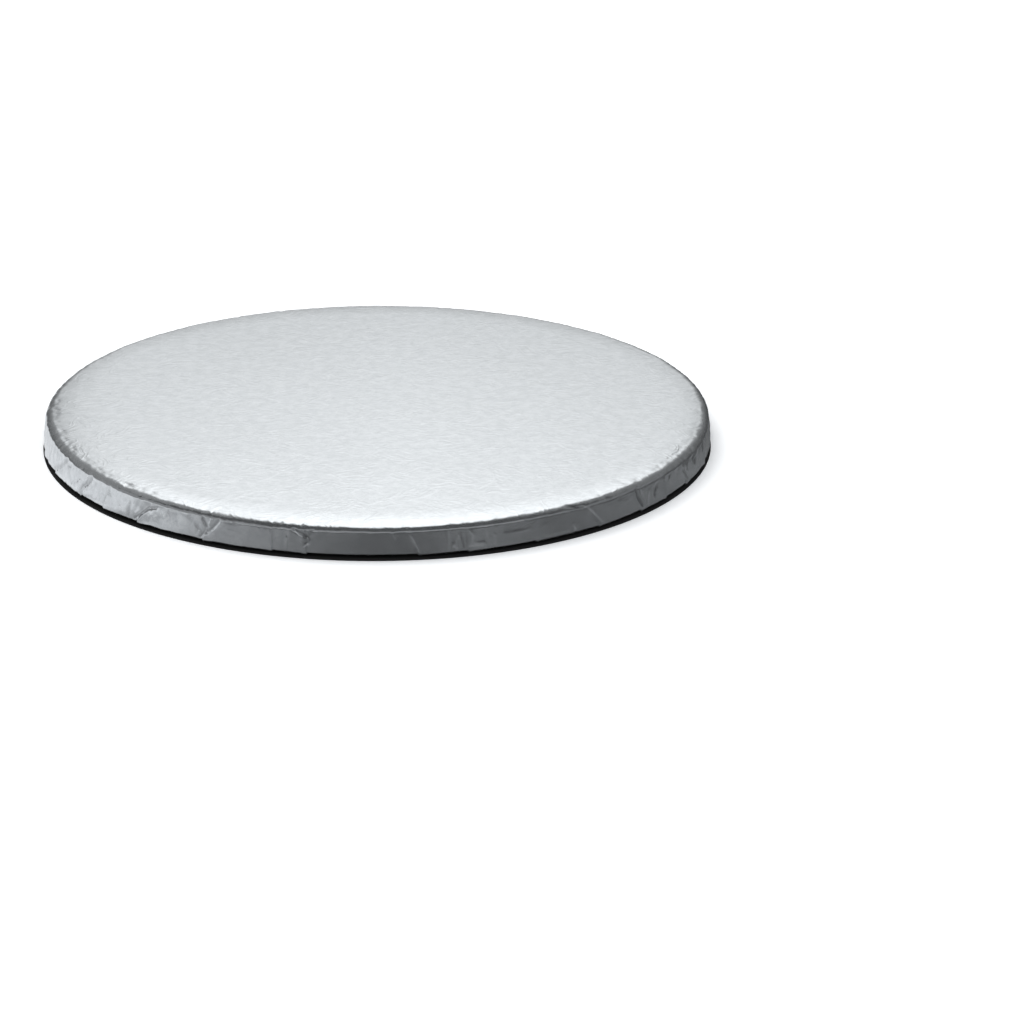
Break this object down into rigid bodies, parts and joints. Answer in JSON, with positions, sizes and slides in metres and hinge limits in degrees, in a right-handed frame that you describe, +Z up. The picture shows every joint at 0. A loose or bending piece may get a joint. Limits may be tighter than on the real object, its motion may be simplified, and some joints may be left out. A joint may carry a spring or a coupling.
{
  "type": "cake board",
  "caption": "Thick round cake board wrapped in silver foil, with a pleated edge and a paper-covered underside, for carrying and displaying a cake.",
  "frame": {"origin": "centre of the underside, on the surface the board rests on", "axes": "+Z up, out of the face that the cake stands on; -Y towards the side that the picture looks from"},
  "size_m": [0.2537, 0.2538, 0.0125],
  "materials": {
    "foil": "satin silver foil with a fine embossed pattern, creased and pleated round the edge",
    "base_paper": "plain matt paper glued over the underside"
  },
  "bodies": {
    "root": {"cake_board": "foil"}
  },
  "joints": []
}
